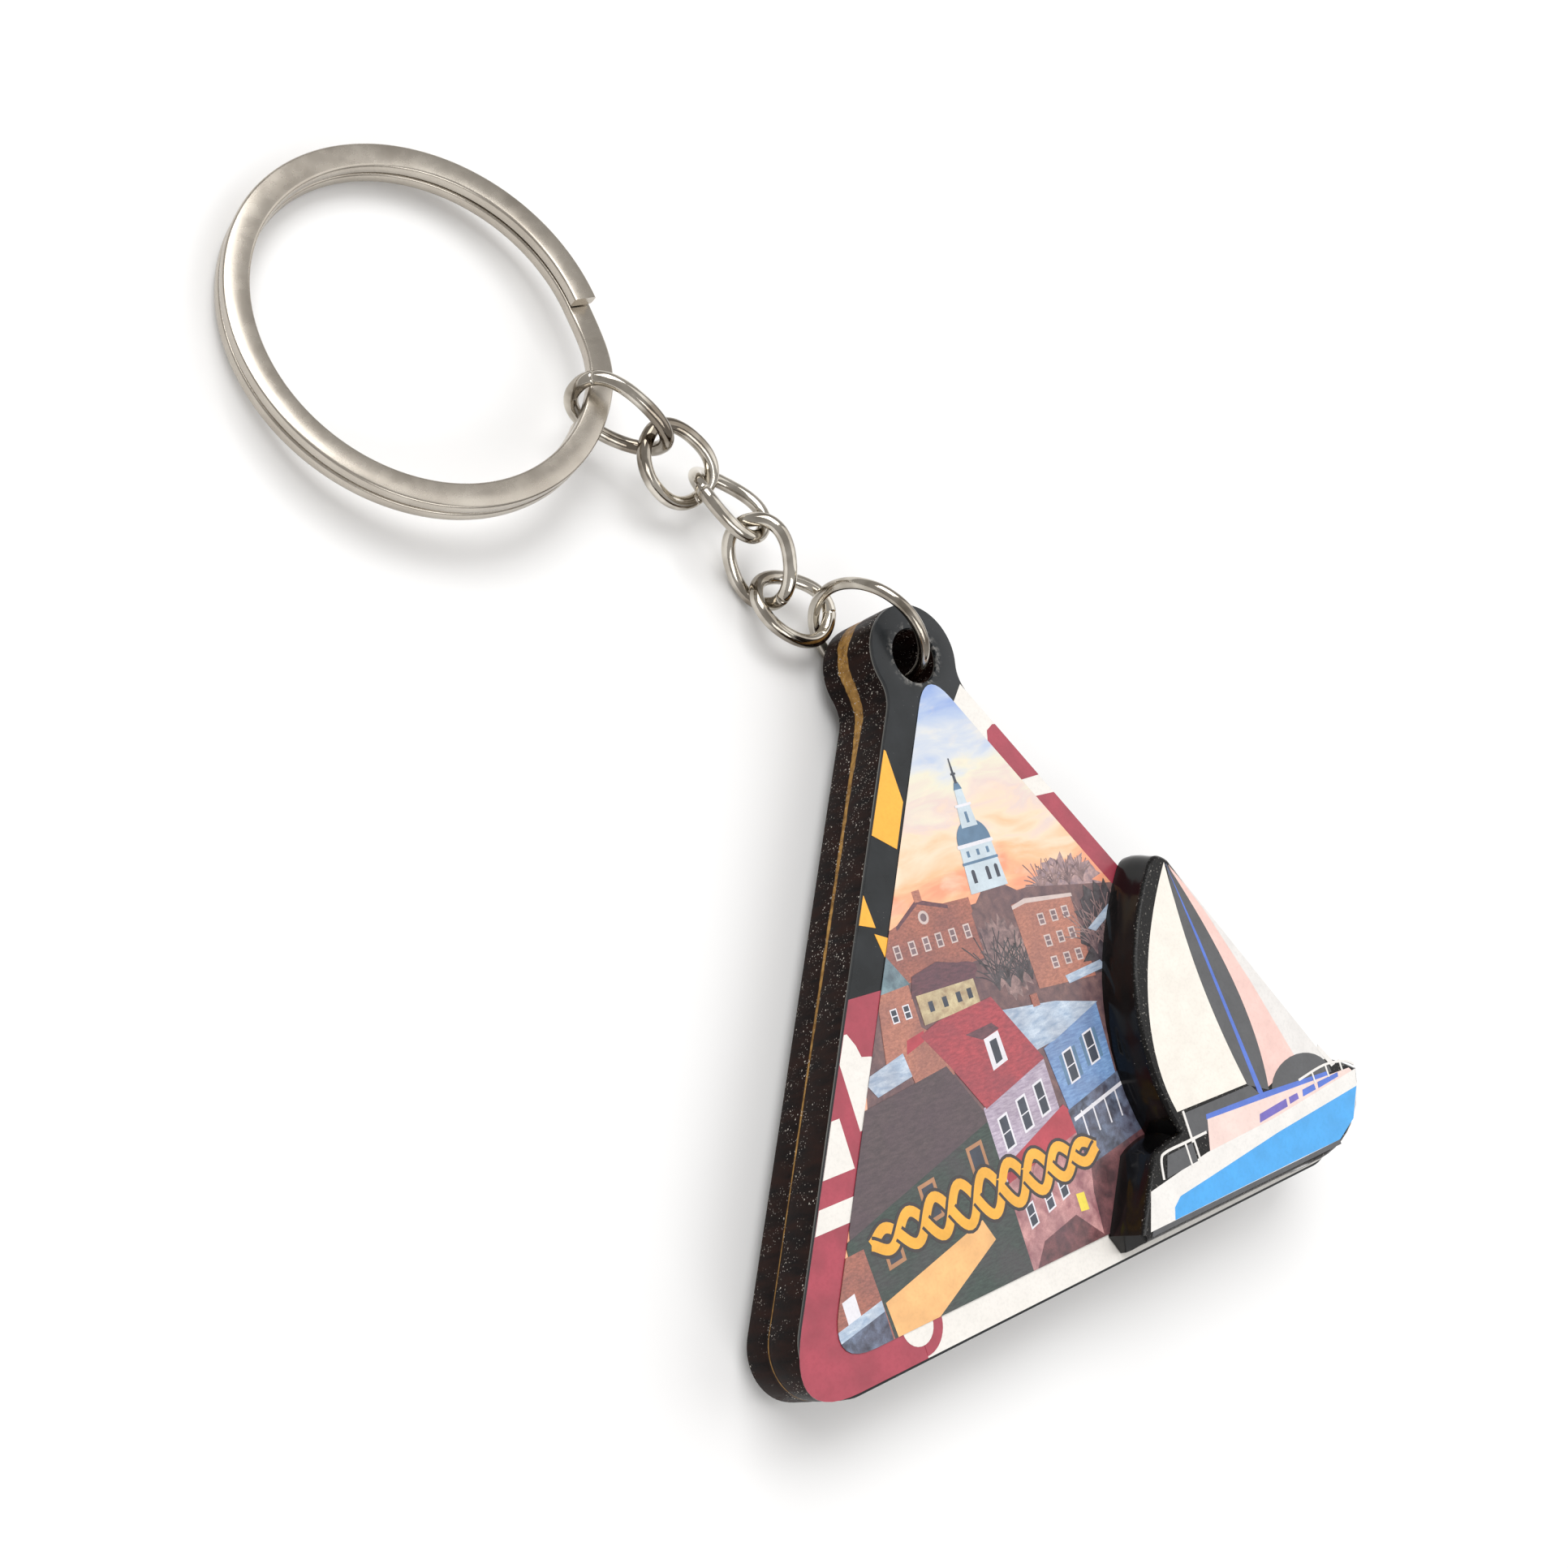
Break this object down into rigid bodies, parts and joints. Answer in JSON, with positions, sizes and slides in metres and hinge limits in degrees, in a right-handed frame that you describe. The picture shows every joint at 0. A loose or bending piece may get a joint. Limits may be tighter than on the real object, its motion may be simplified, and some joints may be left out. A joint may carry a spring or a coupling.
{
  "type": "souvenir keychain",
  "caption": "Souvenir keychain: layered triangular board with a raised boat plate, joined by a jump ring and a short curb chain to a split key ring.",
  "frame": {"origin": "middle of the board's triangle, on its flat back face", "axes": "+Z out of the printed face, +Y from the bottom edge towards the hole tab, +X towards the boat's side"},
  "size_m": [0.0806, 0.0972, 0.0113],
  "materials": {
    "grey_film": "smooth grey film",
    "dark_board": "dark fine-grained pressed board with a speckled cut edge",
    "tan_core": "tan fibre and adhesive, rough",
    "boat_edge": "black lacquered cut edge",
    "town_print": "printed sheet, many colours",
    "boat_print": "printed sheet, many colours",
    "clear_gloss": "clear glossy coat",
    "nickel": "polished nickel plate"
  },
  "bodies": {
    "fob": {"back_film": "grey_film", "back_board": "dark_board", "bond_layer": "tan_core", "front_board": "dark_board", "printed_sheet": "town_print", "clear_coat": "clear_gloss", "boat_glue": "tan_core", "boat_board": "boat_edge", "boat_print": "boat_print", "boat_coat": "clear_gloss"},
    "jump_ring": {"jump_ring": "nickel"},
    "chain_link_4": {"chain_link_4": "nickel"},
    "chain_link_3": {"chain_link_3": "nickel"},
    "chain_link_2": {"chain_link_2": "nickel"},
    "chain_link_1": {"chain_link_1": "nickel"},
    "ring_link": {"ring_link": "nickel"},
    "split_ring": {"split_ring": "nickel"}
  },
  "joints": [
    {"name": "jump_ring_swing", "type": "hinge", "parent": "fob", "child": "jump_ring", "pos_m": [0, 0.0326, 0.00328], "axis": [0, 0, 1], "range_deg": [-80, 30]},
    {"name": "chain_link_4_swing", "type": "hinge", "parent": "jump_ring", "child": "chain_link_4", "pos_m": [-0.00373, 0.03855, 0.00067], "axis": [-0.2852, 0.608, 0.741], "range_deg": [-35, 35]},
    {"name": "chain_link_3_swing", "type": "hinge", "parent": "chain_link_4", "child": "chain_link_3", "pos_m": [-0.0089, 0.04118, 0.0007], "axis": [-0.5257, -0.805, 0.275], "range_deg": [-35, 35]},
    {"name": "chain_link_2_swing", "type": "hinge", "parent": "chain_link_3", "child": "chain_link_2", "pos_m": [-0.00916, 0.04635, 0.00329], "axis": [-0.6591, 0.2083, -0.7227], "range_deg": [-35, 35]},
    {"name": "chain_link_1_swing", "type": "hinge", "parent": "chain_link_2", "child": "chain_link_1", "pos_m": [-0.0126, 0.0508, 0.00217], "axis": [-0.6266, -0.463, 0.6269], "range_deg": [-35, 35]},
    {"name": "ring_link_swing", "type": "hinge", "parent": "chain_link_1", "child": "ring_link", "pos_m": [-0.0172, 0.05376, 0.00361], "axis": [-0.652, -0.7429, -0.1515], "range_deg": [-35, 35]},
    {"name": "split_ring_swing", "type": "hinge", "parent": "ring_link", "child": "split_ring", "pos_m": [-0.0225, 0.0581, 0.00384], "axis": [-0.2646, -0.2885, -0.9202], "range_deg": [-25, 35]}
  ]
}
